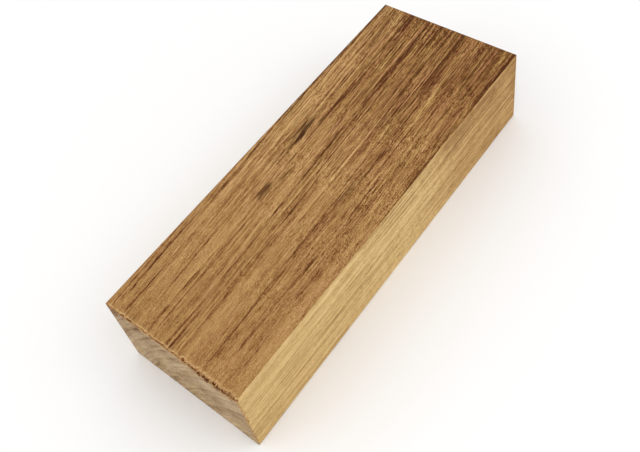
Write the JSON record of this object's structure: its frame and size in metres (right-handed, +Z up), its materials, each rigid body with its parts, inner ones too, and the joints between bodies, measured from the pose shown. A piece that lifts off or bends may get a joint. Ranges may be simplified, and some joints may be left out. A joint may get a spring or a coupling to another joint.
{
  "type": "ovangkol wood blank",
  "caption": "Squared hardwood blank with flat sawn faces, slightly eased long edges and a torn upper edge at its near end.",
  "frame": {"origin": "middle of the bounding box on the underside, the wide face the blank rests on", "axes": "+Y along the grain, from the near end with the torn edge to the far end; +X across the blank towards its paler side; +Z up"},
  "size_m": [0.0508, 0.1414, 0.0307],
  "materials": {
    "ovangkol_wood": "bare sawn and planed wood, unfinished"
  },
  "bodies": {
    "root": {"ovangkol_blank": "ovangkol_wood"}
  },
  "joints": []
}
